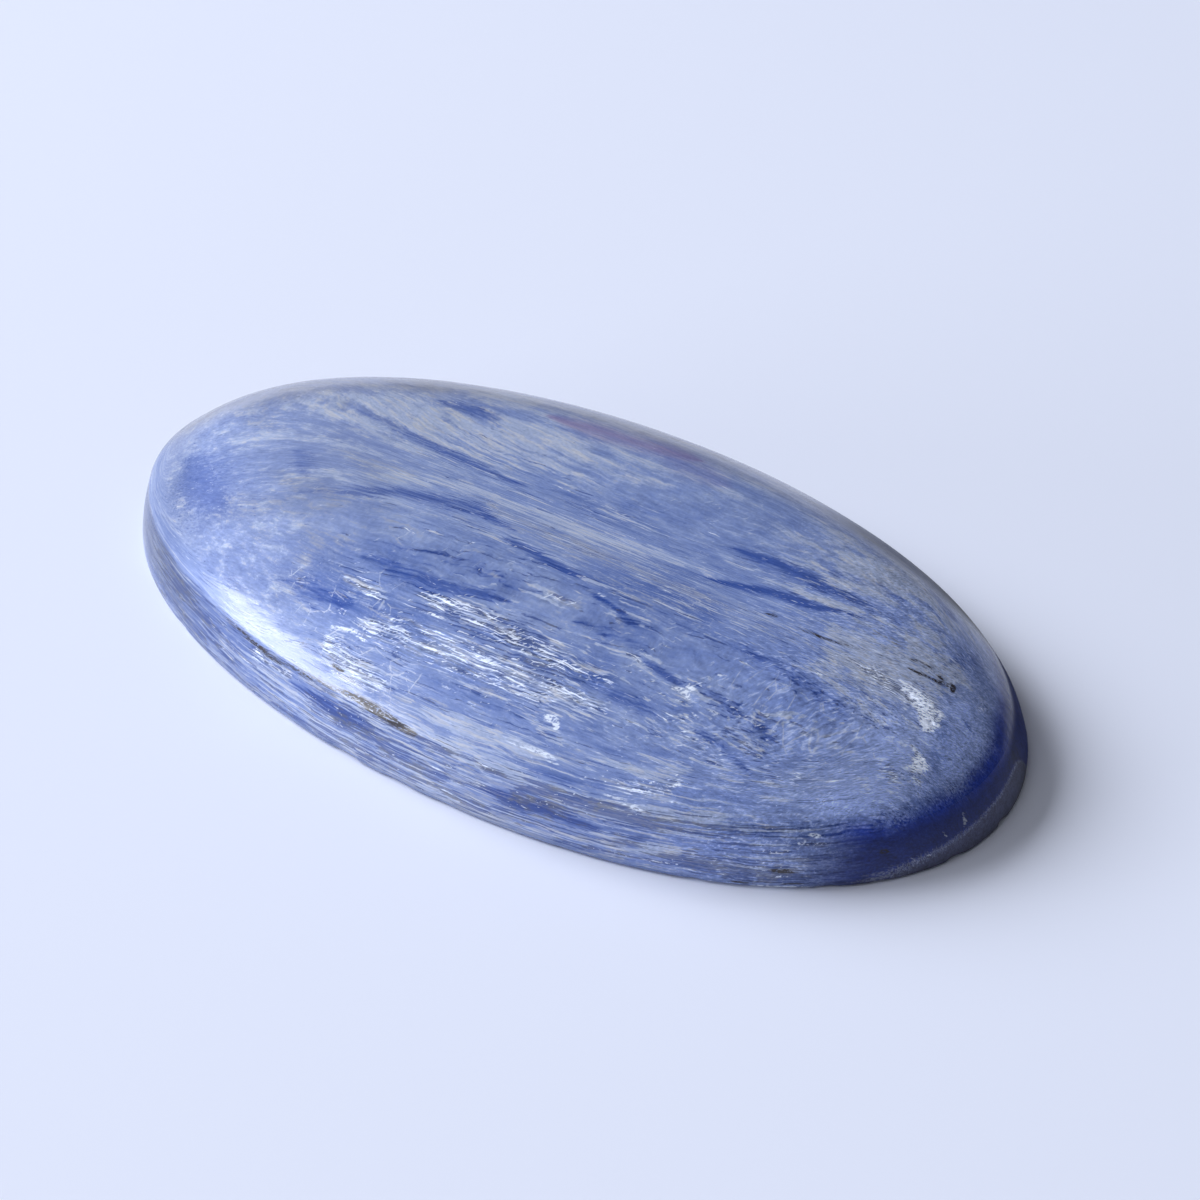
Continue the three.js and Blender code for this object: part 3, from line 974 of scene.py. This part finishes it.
# %% Dull fuzz and pale silk
DULL_GREY = (152, 158, 177)
COOL_SILK, WARM_SILK, WHITE_SILK = (172, 186, 216), (198, 200, 206), (216, 219, 228)
FIBRE_COVER = 0.68
dull = share_of(weighted(0.5, (second_fibre, 0.6), (grit, 0.2), (mottle, 0.3)), mark("fuzz"), 0.22)
body = tinted(body, DULL_GREY, times(dull, 0.72))
pale = share_of(lengthwise, mark("silk"), calmness)
warmth = between(0.4, 0.95, second_fibre)
pale_colour = tinted(tinted(displayed(*COOL_SILK), WARM_SILK, warmth), WHITE_SILK, 0.15)
body = tinted(body, pale_colour, times(pale, FIBRE_COVER))
print(f"{len(tree.nodes)} nodes with the silk")

# %% Flecks and dusky blades
FLECK_BLUE = (184, 196, 224)
DUSKY_BLUE, DUSKY_GREY = (48, 70, 134), (80, 82, 98)
curly = weighted(0.5, (cross, 0.8), (mottle, 0.3))
flecks = share_of(curly, maths("MULTIPLY_ADD", mark("right"), 0.22, 0.04), 0.08)
body = tinted(body, FLECK_BLUE, times(flecks, 0.5))
dark = share_of(dark_run, mark("dusky"), 0.12)
dark_colour = tinted(displayed(*DUSKY_BLUE), DUSKY_GREY, between(0.4, 0.8, mottle))
body = tinted(body, dark_colour, times(dark, FIBRE_COVER))
print(f"{len(tree.nodes)} nodes with the flecks")

# %% The painted reflection on the shoulder, and the violet band
SHOULDER_REFLECTION_GREY = (150, 153, 168)
VIOLET = (122, 108, 160)
# Painted reflection: a grey sheen laid over the far shoulder, where a grazing reflection would show.
shoulder_reflection_amount = times(mark("shoulder"), weighted(0.72, (streak, 0.3), (mottle, 0.25)))
body = tinted(body, SHOULDER_REFLECTION_GREY, shoulder_reflection_amount)
violet_amount = times(mark("violet"), weighted(0.9, (streak, 0.4), (second_fibre, 0.2)))
body = tinted(body, VIOLET, violet_amount)
print(f"{len(tree.nodes)} nodes for the blue and its fibres")

# %% Silver flakes
DARK_SILVER, BRIGHT_SILVER = (202, 210, 226), (220, 230, 250)
COVER = 0.85
long_glints = weighted(0.5, (hair, 0.7), (mottle, 0.3), (third_fibre, 0.35))
short_glints = weighted(0.5, (cross, 0.65), (third_fibre, 0.4), (mottle, 0.1))
glints = maths("MAXIMUM", long_glints, short_glints)
flakes = share_of(glints, times(mark("flake"), 0.6), 0.06)
flake_colour = tinted(displayed(*DARK_SILVER), BRIGHT_SILVER, mottle)
body = tinted(body, flake_colour, times(flakes, COVER))
print(f"{len(tree.nodes)} nodes with the flakes")

# %% A net of fine cracks
CRACK_BLUE = (190, 198, 220)
cell = add("TexVoronoi", {"Vector": warped, "Scale": 1.1, "Randomness": 1.0}, feature="DISTANCE_TO_EDGE")
crack_line = times(between(0.04, 0.0, cell), between(0.35, 0.6, mottle))
crack_line = times(crack_line, mark("crackle"))
body = tinted(body, CRACK_BLUE, times(crack_line, COVER))
print(f"{len(tree.nodes)} nodes with the cracks")

# %% Navy end, grey strip and the pale line between them
NAVY, STRIP_REFLECTION_GREY, LINE_BLUE = (32, 60, 160), (84, 86, 100), (150, 158, 186)
deep = times(mark("navy"), weighted(1.0, (third_fibre, 0.25)))
body = tinted(body, NAVY, times(between(0.0, 1.0, deep), 0.97))
band_edge = maths("ADD", mark("band_place"), weighted(0.0, (second_fibre, 0.25)))
# The grey strip is a painted reflection of the shaded paper.
body = tinted(body, STRIP_REFLECTION_GREY, times(between(-0.2, 0.2, band_edge), COVER))
pale_line = between(0.3, 0.0, maths("ABSOLUTE", band_edge))
body = tinted(body, LINE_BLUE, times(pale_line, between(0.3, 0.7, grit, 0.15, 0.8)))
print(f"{len(tree.nodes)} nodes with the navy end")

# %% Stains and glints
STAIN_BROWN, GLINT_WHITE = (54, 50, 54), (228, 237, 254)
specks = between(0.15, 0.5, weighted(0.5, (grit, 0.5), (cross, 0.5), (hair, 0.4)))
body = tinted(body, STAIN_BROWN, times(soft_mark("stain", 0.8), specks))
glint_shows = soft_mark("glint", 0.9)
broken = between(0.3, 0.55, weighted(0.5, (cross, 0.7), (grit, 0.3)), 0.1, 1.0)
body = tinted(body, GLINT_WHITE, times(glint_shows, broken))
print(f"{len(tree.nodes)} nodes with the stains")

# %% Light and dark of single fibres
light = weighted(1.0, (grit, 0.12), (hair, 0.12), (second_fibre, 0.12))
curls = times(mark("right"), weighted(0.0, (cross, 0.45), (mottle, 0.45), (grit, 0.15)))
flashes = times(between(0.0, 0.35, mark("flake")), weighted(0.0, (hair, 0.55), (cross, 0.2)))
curls = maths("ADD", curls, flashes)
# The dim mark is painted shade: it darkens the colour by 45 percent for each unit.
light = times(maths("ADD", light, curls), maths("MULTIPLY_ADD", mark("painted_shade"), -0.45, 1.0))
body = add("VectorMath", {0: body, "Scale": light}, operation="SCALE")
print(f"{len(tree.nodes)} nodes with the light and dark")

# %% [markdown]
# ## Polish
#
# Kyanite takes a good polish, but its hardness differs along and across the blades, so the wheel leaves the
# fibres standing out by a few thousandths of a millimetre. A bump follows them, and the roughness differs a
# little from fibre to fibre. The flat back and the matt places are rougher.

# %% Gloss and relief
RELIEF_DEPTH = 7e-6
SURFACE_IOR = 1.5  # kyanite's own, about 1.72, would mirror the window too brightly
POLISHED_ROUGHNESS = 0.18
MATT_ROUGHNESS = 0.55
gloss = weighted(POLISHED_ROUGHNESS, (mottle, 0.08), (fibre, 0.05))
gloss = maths("ADD", gloss, times(flakes, 0.1))
gloss = maths("MAXIMUM", gloss, times(maths("MAXIMUM", mark("ground"), mark("matt")), MATT_ROUGHNESS))
relief = weighted(0.5, (fibre, 0.3), (hair, 0.12), (mottle, 0.3))
bump = add("Bump", {"Height": relief, "Distance": RELIEF_DEPTH, "Strength": 1.0})
for socket, value in {"Base Color": body, "Roughness": gloss, "Normal": bump}.items():
    tree.links.new(value, shader.inputs[socket])
shader.inputs["IOR"].default_value = SURFACE_IOR
stone.data.materials.append(finish)
print(f"{len(tree.nodes)} nodes in the finish")

# %% [markdown]
# ## Paper, window and camera
#
# The stone lies on plain pale paper beside a window. A low window at the left puts the long highlight on the
# near shoulder, a weaker pane above it makes the soft sheen over the shoulder, and light from above gives the
# colours and the soft shadow. That last light stays out of the reflections, because nothing bright hangs
# above.

# %% Paper
PAPER_HALF = 1.0
PAPER_COLOUR = (0.82, 0.86, 0.985, 1)
PAPER_ROUGHNESS = 0.9
PAPER_SHINE = 0.1
square = [(PAPER_HALF * a, PAPER_HALF * b, 0) for a, b in ((-1, -1), (1, -1), (1, 1), (-1, 1))]
sheet = bpy.data.meshes.new("paper")
sheet.from_pydata(square, [], [(0, 1, 2, 3)])
floor = bpy.data.objects.new("paper", sheet)
bpy.context.scene.collection.objects.link(floor)
paper = bpy.data.materials.new("paper")
paper.use_nodes = True
paper_shader = paper.node_tree.nodes["Principled BSDF"]
paper_shader.inputs["Base Color"].default_value = PAPER_COLOUR
paper_shader.inputs["Roughness"].default_value = PAPER_ROUGHNESS
paper_shader.inputs["Specular IOR Level"].default_value = PAPER_SHINE
sheet.materials.append(paper)
print(f"paper {2 * PAPER_HALF:.0f} m square")

# %% Lights
def soft_panel(name, turn, lift, distance, width, height, radiance, colour):
    """A rectangular light that faces the stone. Turn is counter-clockwise from +X and lift above the floor,
    in degrees, the rest in metres. Its watts are the radiance times pi times its area."""
    light = bpy.data.lights.new(name, "AREA")
    light.shape = "RECTANGLE"
    light.size = width
    light.size_y = height
    light.energy = radiance * np.pi * width * height
    light.color = colour
    panel = bpy.data.objects.new(name, light)
    bpy.context.scene.collection.objects.link(panel)
    turn, lift = np.radians(turn), np.radians(lift)
    towards = Vector((np.cos(turn) * np.cos(lift), np.sin(turn) * np.cos(lift), np.sin(lift)))
    panel.location = towards * distance
    panel.rotation_mode = "QUATERNION"
    panel.rotation_quaternion = towards.to_track_quat("Z", "Y")
    return panel


WINDOW_LIGHT = (0.945, 0.975, 1.05)
soft_panel("low_window", 224, 5, 0.5, width=0.3, height=0.12, radiance=13.5, colour=WINDOW_LIGHT)
soft_panel("window", 206, 20, 0.5, width=0.6, height=0.36, radiance=0.4, colour=WINDOW_LIGHT)
key = soft_panel("key", 185, 34, 1.3, width=0.87, height=0.72, radiance=10.7, colour=WINDOW_LIGHT)
overhead = soft_panel("overhead", 250, 65, 0.9, width=0.8, height=0.8, radiance=0.9, colour=WINDOW_LIGHT)
key.visible_glossy = False
overhead.visible_glossy = False
ROOM_LIGHT = (0.06, 0.06, 0.065, 1)
world = bpy.data.worlds.new("studio")
bpy.context.scene.world = world
world.use_nodes = True
world.node_tree.nodes["Background"].inputs["Color"].default_value = ROOM_LIGHT
bpy.context.scene.view_settings.view_transform = "Standard"
print(f"the key light gives {key.data.energy:.1f} watts")

# %% Camera
CAMERA_TURN = 29.74
CAMERA_LIFT = 42.0
CAMERA_DISTANCE = 0.110
AIM = Vector((0.000363, 0.002729, 0.0))
LENS = 75.1
SENSOR = 36.0
turn, lift = np.radians(CAMERA_TURN), np.radians(CAMERA_LIFT)
towards_camera = Vector((np.sin(turn) * np.cos(lift), -np.cos(turn) * np.cos(lift), np.sin(lift)))
camera_data = bpy.data.cameras.new("camera")
camera_data.lens = LENS
camera_data.sensor_width = SENSOR
camera_data.clip_start = 0.005
camera_data.clip_end = 20
camera = bpy.data.objects.new("camera", camera_data)
bpy.context.scene.collection.objects.link(camera)
camera.location = AIM + towards_camera * CAMERA_DISTANCE
camera.rotation_mode = "QUATERNION"
camera.rotation_quaternion = (-towards_camera).to_track_quat("-Z", "Y")
bpy.context.scene.camera = camera
print(f"camera {METRE * camera.location.length:.0f} mm from the middle of the stone")
